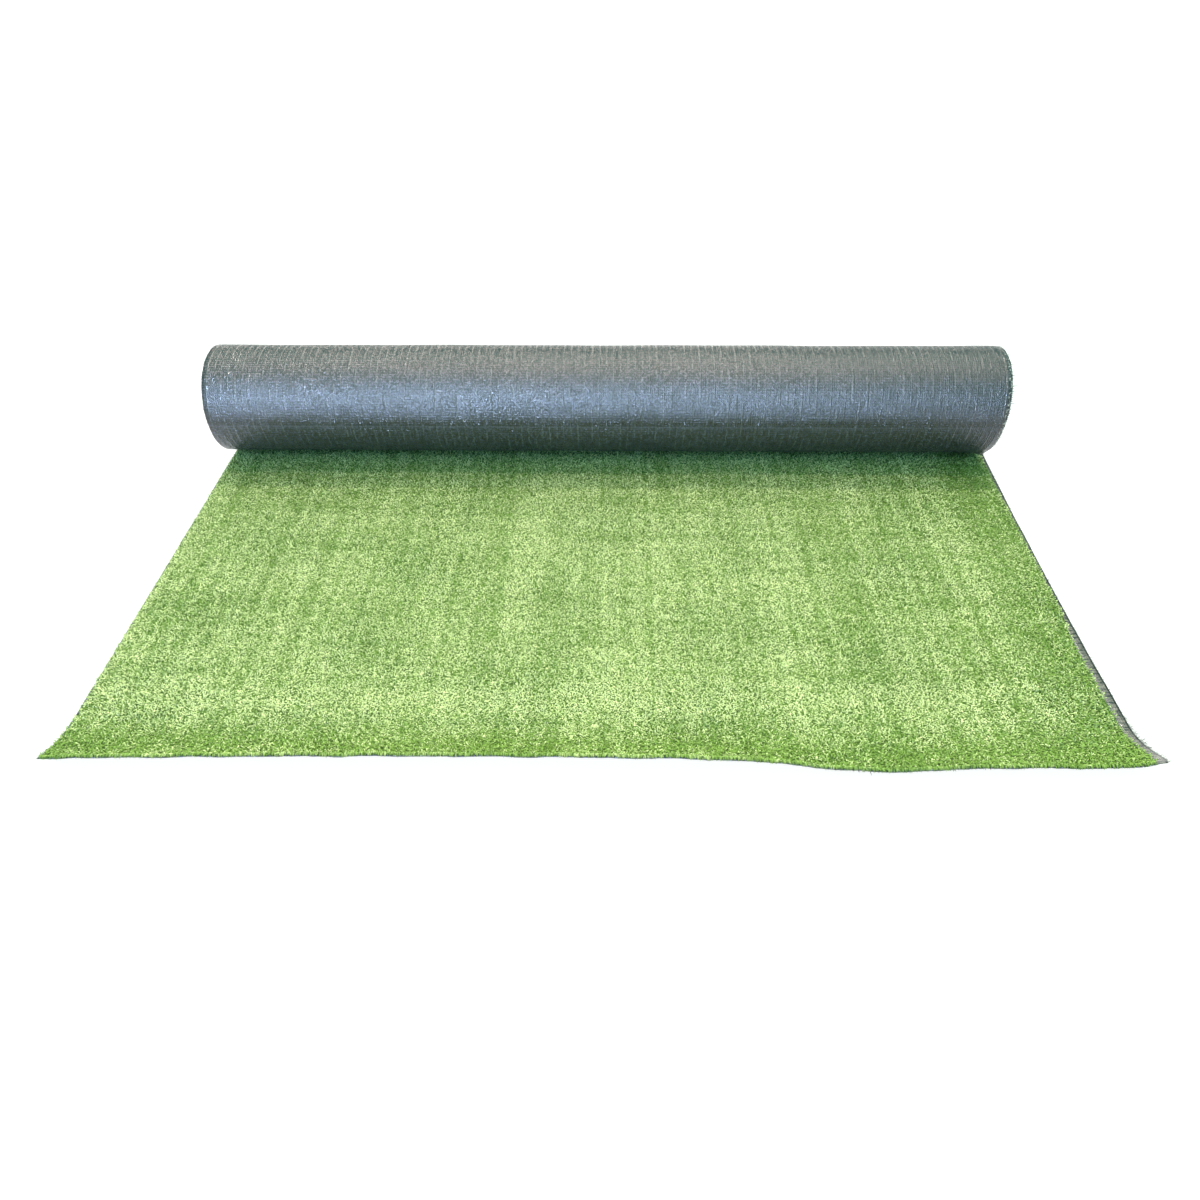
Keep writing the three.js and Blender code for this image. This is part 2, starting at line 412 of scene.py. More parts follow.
class Value:
    """A shader socket in a sum: its operators add Math nodes, with a number on either side."""

    def __init__(self, shader, socket):
        self.shader = shader
        self.socket = socket

    def math(self, operation, *terms):
        """A Math node of these terms."""
        inputs = dict(enumerate(terms))
        return self.shader.node("ShaderNodeMath", {"operation": operation}, inputs)

    def __add__(self, other):
        return self.math("ADD", self, other)

    def __sub__(self, other):
        return self.math("SUBTRACT", self, other)

    def __rsub__(self, other):
        return self.math("SUBTRACT", other, self)

    def __mul__(self, other):
        return self.math("MULTIPLY", self, other)

    def __truediv__(self, other):
        return self.math("DIVIDE", self, other)

    def __pow__(self, other):
        return self.math("POWER", self, other)

    __radd__ = __add__
    __rmul__ = __mul__

    def sine(self):
        return self.math("SINE", self)

    def clipped(self):
        """The value kept between nought and one."""
        settings = {"operation": "ADD", "use_clamp": True}
        return self.shader.node("ShaderNodeMath", settings, {0: self, 1: 0.0})

    def past(self, edge, steepness):
        """Nought up to an edge, then a straight rise by steepness, up to one."""
        return ((self - edge) * steepness).clipped()

    def bell(self, width):
        """A bell of height one round nought: e to the minus square of the value over width."""
        square = (self / width) * (self / width)
        return self.math("EXPONENT", square * -1.0)


class Shader:
    """The nodes of one material or world, built node by node."""

    def __init__(self, owner):
        owner.use_nodes = True
        self.owner = owner
        self.tree = owner.node_tree
        self.tree.nodes.clear()

    def node(self, kind, settings=None, inputs=None, output=0):
        """Adds a node: its settings first, then the values or links of its sockets."""
        made = self.tree.nodes.new(kind)
        for key, value in (settings or {}).items():
            setattr(made, key, value)
        for key, value in (inputs or {}).items():
            if isinstance(value, Value):
                self.tree.links.new(value.socket, made.inputs[key])
            else:
                made.inputs[key].default_value = value
        return Value(self, made.outputs[output] if made.outputs else None)

    def noise(self, vector, scale, detail=2.0, roughness=0.5):
        """Soft random values about one half, at so many lumps a unit of the vector."""
        inputs = {"Vector": vector, "Scale": scale, "Detail": detail, "Roughness": roughness}
        return self.node("ShaderNodeTexNoise", None, inputs)

    def mix(self, factor, first, second):
        """A blend of two colours."""
        settings = {"data_type": "RGBA", "clamp_factor": True}
        return self.node("ShaderNodeMix", settings, {0: factor, 6: first, 7: second}, 2)

    def stretched(self, vector, scale):
        """A vector scaled along its axes, to stretch a pattern."""
        return self.node("ShaderNodeMapping", None, {"Vector": vector, "Scale": scale})

    def bump(self, distance, height):
        """A normal that leans with the slope of a height."""
        inputs = {"Strength": 1.0, "Distance": distance, "Height": height}
        return self.node("ShaderNodeBump", None, inputs)

    def attribute(self, name):
        """A number that the piece holds for each vertex."""
        return self.node("ShaderNodeAttribute", {"attribute_name": name}, None, 2)

    def surface(self, **sockets):
        """Ends the material in a Principled shader."""
        named = {key.replace("_", " "): value for key, value in sockets.items()}
        shader = self.node("ShaderNodeBsdfPrincipled", None, named)
        self.node("ShaderNodeOutputMaterial", None, {"Surface": shader})
        return self.owner


def rgba(values):
    """A colour with full alpha."""
    return (*values, 1.0)


def backing_material(colours):
    """Coated woven backing, read in the sheet's own map in metres: rows of back stitches along the
    sheet, every few of them a ridge that is paler and carries a painted glint, fine crosswise tapes,
    and a grainy coating. Painted light and shade too: warm light on the roll's top, a shadow, a dark
    line and a shine at the crease, and shade that deepens towards the right."""
    shader = Shader(bpy.data.materials.new("backing_weave"))
    place = shader.node("ShaderNodeUVMap", {"uv_map": "Weave"})
    x = shader.node("ShaderNodeSeparateXYZ", None, {"Vector": place}, "X")
    along = shader.node("ShaderNodeSeparateXYZ", None, {"Vector": place}, "Y")
    wander = (shader.noise(place, 60.0, 1.0) - 0.5) * 0.0016
    longer = shader.stretched(place, (1.0, 0.80, 1.0))
    grain = shader.noise(longer, 215.0, 2.0, 0.75)
    flecks = shader.noise(longer, 70.0, 2.0)
    specks = shader.noise(place, 180.0, 0.0).past(0.60, 7.0)
    stitch_rows = ((x + wander) * (TURN / STITCH_ROWS_APART)).sine() * 0.5 + 0.5
    stitches = (along * (TURN / STITCHES_APART)).sine() * 0.5 + 0.5
    ridge = (((x + wander) * (math.pi / RIDGES_APART)).sine() ** 2.0) ** 9.0
    broken = shader.stretched(place, (40.0, 22.0, 1.0))
    ridge = ridge * (shader.noise(broken, 1.0, 1.0) * 3.4 - 1.0).clipped()
    cloud = shader.noise(place, 6.0, 2.0)
    # Painted shadow beside the crease, then a painted dark line along the crease and a painted shine beside
    # it.
    shaded = (along + CREASE_SHADE_AT).bell(0.0220) * 0.35
    crease = (along + CREASE_AT).bell(0.0070) - (along + CREASE_SHINE_AT).bell(0.0035) * 0.8
    height = stitch_rows * stitches * 0.40 + ridge * 0.70 + grain * 1.9 + flecks * 0.5 + specks * 0.5
    # The ridges' added lightness is partly a paler coating and partly a painted glint.
    light = (
        (grain - 0.5) * 7.6
        + (flecks - 0.5) * 1.4
        + specks * 1.10
        + ridge * 0.80
        + stitch_rows * 0.16
        + stitches * 0.34
        + (cloud - 0.5) * 0.25
        - crease * 0.60
        - 0.12
    ).clipped()
    # Painted shade: the coating darkens towards the right, where the light falls off.
    painted_falloff = 1.0 - x.past(0.25, 1.3) * 0.50
    # Painted warm light: the coating turns warmer and paler over the roll's top.
    painted_warm_light = (along + PAINTED_WARM_LIGHT_AT).bell(0.15)
    coating = shader.mix(painted_warm_light, rgba(colours.backing_light), rgba(colours.backing_painted_warm))
    light = light * painted_falloff * (1.0 - shaded)
    woven = shader.mix(light, rgba(colours.backing_dark), coating)
    # Painted glint: the ridges are paled towards the fray colour, fading with the painted shade to the
    # right.
    woven = shader.mix(ridge * 0.10 * painted_falloff, woven, rgba(colours.fray))
    lines = ((along + wander) * (TURN / CROSS_YARNS_APART)).sine()
    cracks = shader.noise(shader.stretched(place, (60.0, 420.0, 1.0)), 1.0, 1.0)
    outermost = x.past(OUTER_YARNS_FROM, 600.0)
    bare = (lines * 0.25 + (cracks - 0.5) * 3.6 + (grain - 0.5) * 1.5 + 0.60).clipped()
    bare = bare * (1.0 - outermost * 0.75)
    selvedge = shader.mix(bare, rgba(colours.backing_dark), rgba(colours.selvedge))
    at_side = x.past(SELVEDGE_FROM, 900.0) * ((along + 0.02) * 60.0).clipped()
    rim = x.past(RIM_FROM, 500.0) * grain.past(0.53, 9.0) * (-30.0 * along).clipped()
    tint = shader.mix(rim, shader.mix(at_side, woven, selvedge), rgba(colours.fray))
    roughness = ((grain - 0.5) * -2.2 - specks * 0.45 - ridge * 0.60 + 0.46).clipped() * 0.46 + 0.09
    bump = shader.bump(0.0012, height)
    return shader.surface(Base_Color=tint, Roughness=roughness, Normal=bump, Specular_IOR_Level=0.85)


def yarn_material(name, colours):
    """Curled polyethylene tape: darker towards its root, and lighter or darker by its own tone,
    which also carries the pile's painted light and shade.
    """
    shader = Shader(bpy.data.materials.new(name))
    tone = shader.attribute("tone")
    height = shader.attribute("height")
    tip = shader.mix(tone, rgba(colours.yarn_dark), rgba(colours.yarn_light))
    tint = shader.mix(height, rgba(colours.yarn_root), tip)
    return shader.surface(Base_Color=tint, Roughness=0.5, Specular_IOR_Level=0.22)


def bed_material(colours):
    """The dense lower pile: lumps the size of tufts, streaked along the tuft rows."""
    shader = Shader(bpy.data.materials.new("pile_bed"))
    place = shader.node("ShaderNodeTexCoord", None, None, 3)
    tufts = shader.noise(place, 210.0, 2.0, 0.6)
    patches = shader.noise(place, 24.0, 2.0)
    streaks = shader.noise(shader.stretched(place, (200.0, 12.0, 60.0)), 1.0, 1.0)
    light = ((tufts - 0.5) * 2.0 + (patches - 0.5) * 0.5 + (streaks - 0.5) * 0.5 + 0.25).clipped()
    tint = shader.mix(light, rgba(colours.yarn_root), rgba(colours.yarn_dark))
    bump = shader.bump(0.002, tufts + streaks * 0.4)
    return shader.surface(Base_Color=tint, Roughness=0.7, Normal=bump, Specular_IOR_Level=0.2)


def fray_material(colours):
    """Loose cut ends of the backing's yarns, each of its own lightness."""
    shader = Shader(bpy.data.materials.new("frayed_yarn"))
    tone = shader.attribute("tone")
    tint = shader.mix(tone, rgba(colours.backing_dark), rgba(colours.fray))
    return shader.surface(Base_Color=tint, Roughness=0.55, Specular_IOR_Level=0.5)


def strip_faces(columns, rows):
    """Faces of a grid whose points run across first."""
    corner = (np.arange(rows - 1)[:, None] * columns + np.arange(columns - 1)).ravel()
    return np.stack([corner, corner + 1, corner + columns + 1, corner + columns], axis=-1)


def sheet_layer(winding, left, right_at, stations, outer_rows, above_at, keep):
    """One layer of the sheet as a grid of across by along. The rows past outer_rows are wound out of
    sight and hold only the columns in keep, and many-sided faces join them to the last full row.
    Returns points, faces and each point's place on the sheet."""
    share = np.linspace(0, 1, keep[-1] + 1)
    along = stations[:, None]
    right = right_at(along)
    x = left + (right - left) * share[None, :]
    along = np.broadcast_to(along, x.shape)
    xs = np.concatenate([x[:outer_rows].ravel(), x[outer_rows:, keep].ravel()])
    alongs = np.concatenate([along[:outer_rows].ravel(), along[outer_rows:, keep].ravel()])
    points = winding.place(xs, alongs, above_at(xs, alongs))
    columns = len(share)
    faces = strip_faces(columns, outer_rows).tolist()
    first_few = outer_rows * columns
    few_rows = len(stations) - outer_rows
    if few_rows:
        last_full = first_few - columns
        for left_few, (start, end) in enumerate(zip(keep[:-1], keep[1:])):
            edge = range(last_full + start, last_full + end + 1)
            faces.append([*edge, first_few + left_few + 1, first_few + left_few])
        faces += (strip_faces(len(keep), few_rows) + first_few).tolist()
    return points, faces, np.stack([xs, alongs], axis=-1)


def solidify(piece, thickness, offset):
    """Gives a single surface its thickness, with closed rims."""
    modifier = piece.modifiers.new("Thickness", "SOLIDIFY")
    modifier.thickness = thickness
    modifier.offset = offset
    modifier.use_even_offset = False


def wound_stations(winding, from_angle, to_angle, step):
    """Distances into the roll at even steps of its winding angle, as negative numbers."""
    angle = np.arange(from_angle, to_angle, step)
    shrink = winding.pitch / TURN
    return -(winding.radius * angle - shrink * angle**2 / 2)


class TURF_OT_backing(bpy.types.Operator):
    """Makes the woven backing, one sheet from the cut front edge to the bore"""

    bl_idname = "turf.backing"
    bl_label = "Woven backing"

    def execute(self, context):
        scene = context.scene
        sheet = scene.turf_sheet
        winding = Winding(sheet)
        curl = np.linspace(sheet.laid, winding.curl_start, 27)
        flat = np.linspace(winding.curl_start, 0, 26)[1:]
        outer = wound_stations(winding, 0.06, TURN * 1.06, 0.06)
        inner = wound_stations(winding, TURN * 1.06, winding.angles, 0.26)
        stations = np.concatenate([curl, flat, outer, inner])
        outer_rows = len(curl) + len(flat) + len(outer)
        columns = 160
        keep = np.array([0, 1, 2, 40, 80, 120, columns - 2, columns - 1, columns])
        half = winding.half

        def right_side(alongs):
            """The right side edge is straight."""
            return np.full_like(alongs, half)

        def outer_face(xs, alongs):
            """Heights start at the backing's outer face."""
            return np.zeros_like(xs)

        points, faces, places = sheet_layer(
            winding, -half, right_side, stations, outer_rows, outer_face, keep
        )
        points = self.cut_edges(winding, points, places)
        material = backing_material(scene.turf_colours)
        piece = new_piece("backing_sheet", points.tolist(), faces, material)
        add_map(piece, "Weave", places)
        solidify(piece, sheet.backing, 1.0)
        piece.data.shade_smooth()
        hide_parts("turf_backing")
        return {"FINISHED"}

    def cut_edges(self, winding, points, places):
        """Makes the cut edges uneven with soft noise: the sides wander by up to a millimetre, each wound
        turn stands a little further in or out, and the front edge is slightly ragged."""
        x, along = places[:, 0], places[:, 1]
        nought = np.zeros_like(x)
        side = ramp(np.abs(x) - winding.half + 0.02, 0.02) * np.sign(x)
        wander = 0.0006 * soft_noise(along, nought, 0.02, 1.0, 5)
        wander = wander + 0.0004 * soft_noise(along, nought, 0.006, 1.0, 6)
        turns = np.where(along < -0.85, 0.0018 * soft_noise(along, nought, 0.45, 1.0, 7), 0)
        front = ramp(along - winding.sheet.laid + 0.006, 0.006)
        ragged = front * 0.0009 * soft_noise(x, nought, 0.011, 1.0, 8)
        points[:, 0] += side * (wander + turns)
        points[:, 1] -= ragged
        return points


class TURF_OT_bed(bpy.types.Operator):
    """Makes the dense lower pile, a lumpy layer on the backing that also fills the wound turns"""

    bl_idname = "turf.bed"
    bl_label = "Pile bed"

    def execute(self, context):
        scene = context.scene
        sheet = scene.turf_sheet
        winding = Winding(sheet)
        curl = np.linspace(sheet.laid - 0.0015, winding.curl_start, 15)
        flat = np.linspace(winding.curl_start, 0, 70)[1:]
        inner = wound_stations(winding, 0.13, winding.angles, 0.26)
        stations = np.concatenate([curl, flat, inner])
        outer_rows = len(curl) + len(flat)
        columns = 148
        keep = np.array([0, 1, 37, 74, 111, columns - 1, columns])
        inset = 0.0012
        left = -winding.half + sheet.left_margin + inset
        open_share, packed_share = 0.45, 0.93

        def right_side(alongs):
            """The pile ends where the bare selvedge starts."""
            return winding.half - winding.right_bare(alongs) - inset

        def lumps(xs, alongs):
            """A share of the pile's height, larger where it is packed, and soft noise where it is open."""
            lump = 0.0007 * soft_noise(xs, alongs, 0.010, 0.010, 21)
            share = np.where(alongs < -0.01, packed_share, open_share)
            return sheet.backing + sheet.pile * share + lump * (alongs > 0)

        points, faces, _ = sheet_layer(winding, left, right_side, stations, outer_rows, lumps, keep)
        material = bed_material(scene.turf_colours)
        piece = new_piece("pile_bed", points.tolist(), faces, material)
        solidify(piece, sheet.pile * 0.40, -1.0)
        piece.data.shade_smooth()
        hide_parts("turf_pile")
        return {"FINISHED"}


def tufts(winding, x, along, tone, pile, rng, reach=1.0):
    """Curled tapes of many tufts. Each tape starts at a point in the backing, spreads to its full
    width half way up, and bends over to a blunt end, so it has a narrow triangle and a bent quad.
    Its direction is a turn shared by the tuft plus an even part of a turn for each tape.
    Returns places on the sheet, corner indices, face starts, and each point's tone and height."""
    count, yarns = len(x), pile.yarns
    x, along, tone = (np.repeat(values, yarns) for values in (x, along, tone))
    total = count * yarns
    part = np.tile(np.arange(yarns), count) * (TURN / yarns)
    turn = part + np.repeat(rng.uniform(0, TURN, count), yarns) + rng.normal(0, 0.45, total)
    bend = turn + rng.normal(0, 0.75, total)
    full = winding.pitch - winding.sheet.backing
    low = winding.sheet.backing + full * 0.30
    middle = winding.sheet.backing + full * rng.uniform(0.55, 0.80, total)
    tall = np.repeat(rng.uniform(0.74, 1.08, count), yarns)
    high = winding.sheet.backing + full * tall * rng.uniform(0.85, 1.05, total) + winding.swell(x, along)
    out_middle = rng.uniform(0.0006, 0.0024, total) * reach
    out_end = out_middle + rng.uniform(0.0024, 0.0058, total) * reach
    width = pile.yarn_width * rng.uniform(0.7, 1.2, total) / 2
    start_x = x + rng.normal(0, 0.0006, total)
    start_along = along + rng.normal(0, 0.0007, total)
    middle_x = start_x + out_middle * np.cos(turn)
    middle_along = start_along + out_middle * np.sin(turn)
    end_x = middle_x + (out_end - out_middle) * np.cos(bend)
    end_along = middle_along + (out_end - out_middle) * np.sin(bend)
    roll = rng.normal(0, 0.5, total)
    across_x, across_along = -np.sin(bend) * width, np.cos(bend) * width
    lift = width * np.sin(roll) * 0.9
    corner_x = [start_x, middle_x - across_x, middle_x + across_x, end_x + across_x, end_x - across_x]
    corner_along = [
        start_along,
        middle_along - across_along,
        middle_along + across_along,
        end_along + across_along,
        end_along - across_along,
    ]
    corner_above = [low, middle - lift, middle + lift, high + lift, high - lift]
    xs = np.stack([np.broadcast_to(v, total) for v in corner_x], -1).ravel()
    alongs = np.stack([np.broadcast_to(v, total) for v in corner_along], -1).ravel()
    above = np.stack([np.broadcast_to(v, total) for v in corner_above], -1).ravel()
    base = (np.arange(total) * 5)[:, None]
    loops = (base + np.array([0, 1, 2, 1, 4, 3, 2])).ravel()
    starts = (np.arange(total) * 7)[:, None] + np.array([0, 3])
    tuft_tone = np.repeat(rng.normal(0, 0.18, count), yarns)
    spread = 1.25 - 0.5 * tone
    own = np.clip(tone + spread * (tuft_tone + rng.normal(0, 0.21, total)), 0.02, 0.90)
    tones = np.repeat(own, 5)
    heights = np.tile(np.array([0.0, 0.55, 0.55, 1.0, 1.0]), total)
    return xs, alongs, above, loops, starts.ravel(), tones, heights


def tuft_piece(name, winding, x, along, tone, pile, rng, material, reach=1.0):
    """One piece of tufts, with each corner's tone and height as attributes and as a bake map."""
    xs, alongs, above, loops, starts, tones, heights = tufts(winding, x, along, tone, pile, rng, reach)
    points = winding.place(xs, alongs, above)
    piece = new_soup(name, points, loops, starts, material)
    add_attribute(piece, "tone", tones)
    add_attribute(piece, "height", heights)
    nudge = np.tile(np.array([0.0, -1.0, 1.0, 1.0, -1.0]) * BAKE_NUDGE, len(tones) // 5)
    add_bake_map(piece, tones + nudge, heights)
    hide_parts("turf_pile")
    return piece


class TURF_OT_tufts(bpy.types.Operator):
    """Makes the open pile's curled tufts, row by row, in a few strips side by side"""

    bl_idname = "turf.tufts"
    bl_label = "Open pile tufts"

    def execute(self, context):
        scene = context.scene
        sheet, pile = scene.turf_sheet, scene.turf_pile
        winding = Winding(sheet)
        rng = np.random.default_rng(pile.seed)
        left = -winding.half + sheet.left_margin
        rows = np.arange(left + 0.0015, winding.half - sheet.selvedge_roll - 0.001, pile.gauge)
        stitches = np.arange(0.004, sheet.laid - 0.0025, pile.stitch)
        x, along = (values.ravel() for values in np.meshgrid(rows, stitches, indexing="ij"))
        shifted = along + pile.stitch * 0.5 * (np.arange(len(x)) // len(stitches) % 2)
        x = x + rng.normal(0, 0.0005, len(x))
        along = np.minimum(shifted + rng.normal(0, 0.0006, len(x)), sheet.laid - 0.002)
        inside = x < winding.half - winding.right_bare(along) - 0.0015
        gaps = soft_noise(x, along, 0.16, 0.12, pile.seed + 7) * 0.05 + 0.07
        kept = inside & (rng.uniform(0, 1, len(x)) > gaps)
        x, along = x[kept], along[kept]
        tone = pile_tone(x, along, pile.seed)
        material = yarn_material("yarn", scene.turf_colours)
        cuts = np.linspace(0, len(x), pile.strips + 1).astype(int)
        for number, (start, end) in enumerate(zip(cuts[:-1], cuts[1:]), 1):
            strip = slice(start, end)
            name = f"pile_tufts_{number}"
            tuft_piece(name, winding, x[strip], along[strip], tone[strip], pile, rng, material)
        return {"FINISHED"}


class TURF_OT_end_tufts(bpy.types.Operator):
    """Makes the tufts that show between the turns on both ends of the roll"""

    bl_idname = "turf.end_tufts"
    bl_label = "Roll end tufts"

    def execute(self, context):
        scene = context.scene
        sheet, pile = scene.turf_sheet, scene.turf_pile
        winding = Winding(sheet)
        rng = np.random.default_rng(pile.seed + 100)
        stitches = -np.arange(0.004, winding.wound - 0.002, pile.stitch)
        inset = 0.0015 + pile.gauge * np.arange(3)
        right = winding.half - sheet.selvedge_roll - inset
        left = -winding.half + sheet.left_margin + inset
        x, along = (v.ravel() for v in np.meshgrid(np.concatenate([left, right]), stitches, indexing="ij"))
        along = along + rng.normal(0, 0.0006, len(along))
        tone = pile_tone(x, along, pile.seed)
        material = bpy.data.materials["yarn"]
        tuft_piece("roll_end_tufts", winding, x, along, tone, pile, rng, material, 0.7)
        return {"FINISHED"}


def yarn_ends(winding, x, along, above, out_x, out_along, out_above, width):
    """Loose yarn ends: each a narrowing ribbon of two quads on a straight line outwards, with its
    height changing as the square of the way. Returns points, corner indices and face starts."""
    count = len(x)
    xs = x[:, None] + out_x[:, None] * END_STATIONS
    alongs = along[:, None] + out_along[:, None] * END_STATIONS
    above = above[:, None] + out_above[:, None] * END_STATIONS**2
    taper = width[:, None] * np.array([1.0, 0.9, 0.35])
    level = np.hypot(out_x, out_along)[:, None] + 1e-9
    side_x, side_along = -out_along[:, None] / level * taper, out_x[:, None] / level * taper
    pair_x = np.stack([xs - side_x, xs + side_x], -1).reshape(count, 6)
    pair_along = np.stack([alongs - side_along, alongs + side_along], -1).reshape(count, 6)
    pair_above = np.repeat(above, 2, axis=1)
    base = (np.arange(count) * 6)[:, None]
    loops = (base + np.array([0, 1, 3, 2, 2, 3, 5, 4])).ravel()
    starts = ((np.arange(count) * 8)[:, None] + np.array([0, 4])).ravel()
    points = winding.place(pair_x.ravel(), pair_along.ravel(), pair_above.ravel())
    points[:, 2] = np.maximum(points[:, 2], 0.0002)
    return points, loops, starts


def shade_ends(piece, tone, heights):
    """Each loose end's own tone and its height from root to tip, as attributes and as a bake map."""
    count = len(tone)
    tone = np.repeat(np.clip(tone, 0.02, 0.98), 6)
    add_attribute(piece, "tone", tone)
    add_attribute(piece, "height", np.tile(np.repeat(heights, 2), count))
    nudge = np.tile([-BAKE_NUDGE, BAKE_NUDGE], count * 3)
    add_bake_map(piece, tone + nudge, np.tile(np.repeat(END_STATIONS, 2), count))


class TURF_OT_frays(bpy.types.Operator):
    """Makes the loose yarn ends along the cut edges"""

    bl_idname = "turf.frays"
    bl_label = "Frayed edges"

    def execute(self, context):
        scene = context.scene
        sheet = scene.turf_sheet
        winding = Winding(sheet)
        rng = np.random.default_rng(scene.turf_pile.seed + 200)
        material = fray_material(scene.turf_colours)
        for name, side, spacing, reach, light in (
            ("right_edge_frays", 1, 0.0018, 0.0042, 0.60),
            ("left_edge_frays", -1, 0.0040, 0.0022, 0.40),
        ):
            along = np.arange(-winding.wound, sheet.laid, spacing)
            if side > 0:
                along = np.concatenate([along, np.arange(0.93, sheet.laid, 0.0007)])
            along = along + rng.normal(0, spacing * 0.4, len(along))
            along = np.clip(along, -winding.wound, sheet.laid - 0.001)
            count = len(along)
            angle = winding.angle_at(-along)
            rim = (1.2 + 0.4 * side) * bell(angle - 3.6, 0.7)
            corner = 1.2 * bell(along - 1.02, 0.06) * (side > 0)
            long = reach * rng.gamma(2.0, 0.35, count) * (1 + rim + corner)
            points, loops, starts = yarn_ends(
                winding,
                np.full(count, side * (winding.half - 0.002)),
                along,
                sheet.backing * rng.uniform(0.3, 0.9, count),
                side * (0.002 + long),
                rng.normal(0, 0.35, count) * long,
                rng.normal(0, 0.30, count) * long,
                rng.uniform(0.0004, 0.0010, count),
            )
            piece = new_soup(name, points, loops, starts, material)
            # Painted shade: frays near the front corner are darker, standing in for the shadows that
            # outline them.
            tone = rng.normal(light, 0.25, count) + 0.2 * rim - 0.15 * corner
            shade_ends(piece, tone, END_STATIONS)
        self.front(winding, rng, material)
        self.overhang(winding, rng, scene.turf_pile.seed)
        return {"FINISHED"}

    def overhang(self, winding, rng, seed):
        """The last tufts' yarns, which lean over the cut front edge and hang in front of it."""
        sheet = winding.sheet
        x = np.arange(-winding.half + 0.005, winding.half - sheet.selvedge_front - 0.001, 0.00085)
        x = x + rng.normal(0, 0.0006, len(x))
        count = len(x)
        points, loops, starts = yarn_ends(
            winding,
            x,
            sheet.laid - rng.uniform(0.0010, 0.0040, count),
            winding.pitch - rng.uniform(0.0008, 0.0026, count),
            rng.normal(0, 0.0012, count),
            rng.uniform(0.0030, 0.0062, count),
            -rng.uniform(0.0030, 0.0075, count),
            rng.uniform(0.0006, 0.0011, count),
        )
        piece = new_soup("front_edge_tufts", points, loops, starts, bpy.data.materials["yarn"])
        tone = pile_tone(x, np.full(count, sheet.laid), seed) + rng.normal(0, 0.22, count)
        shade_ends(piece, tone, np.array([0.9, 0.8, 0.5]))

    def front(self, winding, rng, material):
        """The front edge's warp ends: short and dark, and longer in two tattered places."""
        sheet = winding.sheet
        x = np.arange(-winding.half + 0.002, winding.half - 0.002, 0.0013)
        x = x + rng.normal(0, 0.001, len(x))
        count = len(x)
        tattered = bell(x - 0.46, 0.07) + bell(x - 0.66, 0.05)
        long = (0.0006 + 0.0017 * tattered) * rng.gamma(2.0, 0.5, count)
        points, loops, starts = yarn_ends(
            winding,
            x,
            np.full(count, sheet.laid - 0.002),
            sheet.backing * rng.uniform(0.2, 0.8, count),
            rng.normal(0, 0.4, count) * long,
            0.002 + long,
            rng.normal(-0.2, 0.3, count) * long,
            rng.uniform(0.0004, 0.0009, count),
        )
        piece = new_soup("front_edge_frays", points, loops, starts, material)
        shade_ends(piece, rng.normal(0.14, 0.16, count), END_STATIONS)


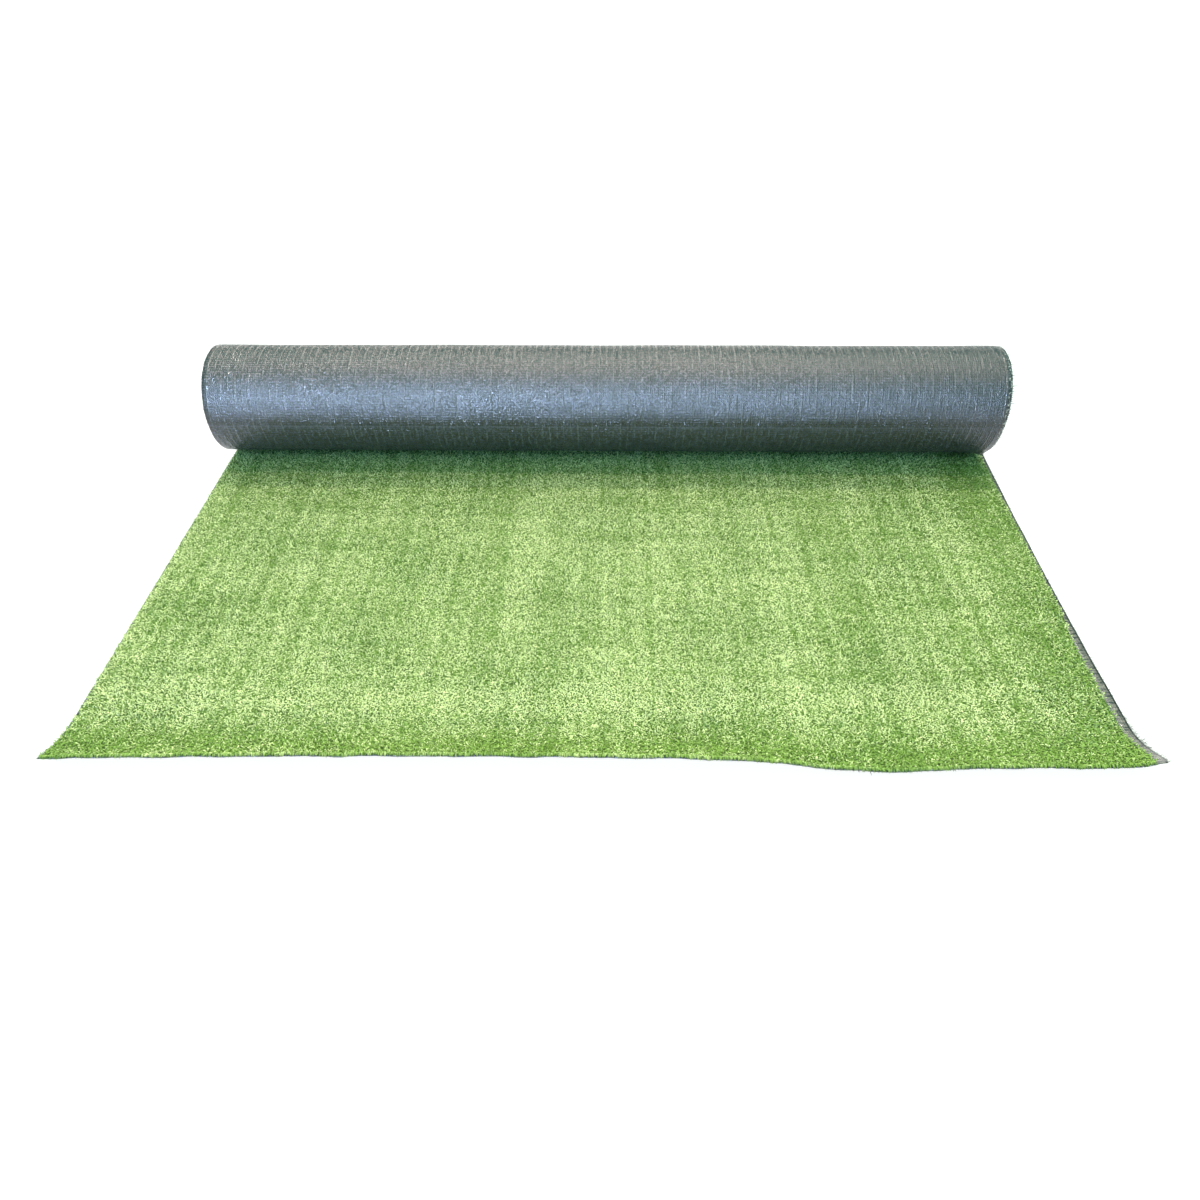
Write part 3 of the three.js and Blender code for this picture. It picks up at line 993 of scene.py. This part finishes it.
class TURF_OT_studio(bpy.types.Operator):
    """Makes the floor, the lights and the camera"""

    bl_idname = "turf.studio"
    bl_label = "Studio"

    def execute(self, context):
        scene = context.scene
        studio = scene.turf_studio
        winding = Winding(scene.turf_sheet)
        self.floor(scene, studio)
        self.sun(scene, "Back lamp", 65.2, 90, 3.0, 1.45)
        self.sun(scene, "Top lamp", 85.0, 90, 4.0, 0.83)
        glow = self.sun(scene, "Back glow", 48.0, 100, 60.0, 2.9)
        glow.visible_glossy = False
        self.softbox(scene, winding)
        self.world(scene)
        self.camera(scene, studio, winding)
        scene.view_settings.view_transform = "Standard"
        scene.view_settings.look = "None"
        return {"FINISHED"}

    def floor(self, scene, studio):
        """A wide level square just under the sheet, pale by its own light."""
        reach = 40.0
        corners = [(-reach, -reach, 0), (reach, -reach, 0), (reach, reach, 0), (-reach, reach, 0)]
        mesh = bpy.data.meshes.new("floor")
        mesh.from_pydata(corners, [], [(0, 1, 2, 3)])
        shader = Shader(bpy.data.materials.new("floor_paint"))
        paint = shader.surface(
            Base_Color=rgba(studio.floor),
            Roughness=0.9,
            Specular_IOR_Level=0.1,
            Emission_Color=(1, 1, 1, 1),
            Emission_Strength=0.94,
        )
        mesh.materials.append(paint)
        floor = bpy.data.objects.new("floor", mesh)
        floor.location.z = -0.0006
        scene.collection.objects.link(floor)

    def sun(self, scene, name, elevation, azimuth, width, strength):
        """A far lamp: elevation above the floor, azimuth round from +X, width in degrees."""
        light = bpy.data.lights.new(name, "SUN")
        light.energy = strength
        light.angle = math.radians(width)
        light.color = LAMP_TINT
        lamp = bpy.data.objects.new(name, light)
        e, a = math.radians(elevation), math.radians(azimuth)
        towards = Vector((math.cos(a) * math.cos(e), math.sin(a) * math.cos(e), math.sin(e)))
        lamp.rotation_mode = "QUATERNION"
        lamp.rotation_quaternion = towards.to_track_quat("Z", "Y")
        scene.collection.objects.link(lamp)
        return lamp

    def softbox(self, scene, winding):
        """A cool soft light in front that the coated backing mirrors as a long bright band."""
        light = bpy.data.lights.new("Front softbox", "AREA")
        light.shape = "RECTANGLE"
        light.size = 5.2
        light.size_y = 0.24
        light.energy = 790.0
        light.color = (0.52, 0.67, 1.0)
        lamp = bpy.data.objects.new("Front softbox", light)
        lamp.location = (-1.2, winding.axis_y - 4.1, 2.28)
        away = lamp.location - Vector((0, winding.axis_y, winding.radius))
        lamp.rotation_mode = "QUATERNION"
        lamp.rotation_quaternion = away.to_track_quat("Z", "Y")
        lamp.visible_diffuse = False
        scene.collection.objects.link(lamp)

    def world(self, scene):
        """Faint cool light from all round. What the camera sees of it is plain and pale."""
        scene.world = bpy.data.worlds.new("studio")
        shader = Shader(scene.world)
        place = shader.node("ShaderNodeTexCoord")
        height = shader.node("ShaderNodeSeparateXYZ", None, {"Vector": place}, 2)
        strength = height.clipped() * 1.35 + 0.01
        sky = shader.mix((height * 2.2 - 1.2).clipped(), (0.33, 1.22, 1.14, 1), (0.92, 0.90, 0.70, 1))
        lit = shader.node("ShaderNodeBackground", None, {"Color": sky, "Strength": strength})
        seen = shader.node("ShaderNodeBackground", None, {"Color": (1, 1, 1, 1), "Strength": 1.0})
        camera = shader.node("ShaderNodeLightPath")
        mixed = shader.node("ShaderNodeMixShader", None, {0: camera, 1: lit, 2: seen})
        shader.node("ShaderNodeOutputWorld", None, {"Surface": mixed})

    def camera(self, scene, studio, winding):
        """The camera where it stood for the photo, looking ahead by yaw and pitch, then leaned by tilt."""
        data = bpy.data.cameras.new("camera")
        data.lens = studio.lens
        data.sensor_width = 36.0
        camera = bpy.data.objects.new("camera", data)
        pitch, yaw, tilt = (math.radians(v) for v in (studio.pitch, studio.yaw, studio.tilt))
        ahead = Vector((math.sin(yaw) * math.cos(pitch), math.cos(yaw) * math.cos(pitch), -math.sin(pitch)))
        level = Vector((math.cos(yaw), -math.sin(yaw), 0))
        up = level.cross(ahead)
        right = math.cos(tilt) * level + math.sin(tilt) * up
        upright = -math.sin(tilt) * level + math.cos(tilt) * up
        turned = Matrix((right, upright, -ahead)).transposed().to_4x4()
        place = Vector((studio.camera_side, winding.axis_y - studio.camera_back, studio.camera_height))
        camera.matrix_world = Matrix.Translation(place) @ turned
        scene.collection.objects.link(camera)
        scene.camera = camera


class TURF_PT_panel(bpy.types.Panel):
    """Lists the roll's pieces"""

    bl_label = "Turf roll"
    bl_idname = "TURF_PT_panel"
    bl_space_type = "VIEW_3D"
    bl_region_type = "UI"
    bl_category = "Turf roll"

    def draw(self, context):
        for operator in OPERATORS:
            self.layout.operator(operator.bl_idname)
        for group in GROUPS:
            settings = getattr(context.scene, group)
            box = self.layout.box()
            for name in settings.__annotations__:
                box.prop(settings, name)


GROUPS = {
    "turf_sheet": TurfSheet,
    "turf_pile": TurfPile,
    "turf_colours": TurfColours,
    "turf_studio": TurfStudio,
}
OPERATORS = (
    TURF_OT_studio,
    TURF_OT_backing,
    TURF_OT_bed,
    TURF_OT_tufts,
    TURF_OT_end_tufts,
    TURF_OT_frays,
)


def register():
    for kind in (*GROUPS.values(), *OPERATORS, TURF_PT_panel):
        bpy.utils.register_class(kind)
    for name, group in GROUPS.items():
        setattr(bpy.types.Scene, name, PointerProperty(type=group))


def unregister():
    for name in GROUPS:
        delattr(bpy.types.Scene, name)
    for kind in reversed((*GROUPS.values(), *OPERATORS, TURF_PT_panel)):
        bpy.utils.unregister_class(kind)


def main():
    register()
    bpy.ops.turf.studio()
    bpy.ops.turf.backing()
    bpy.ops.turf.bed()
    bpy.ops.turf.tufts()
    bpy.ops.turf.end_tufts()
    bpy.ops.turf.frays()


if __name__ == "__main__":
    main()
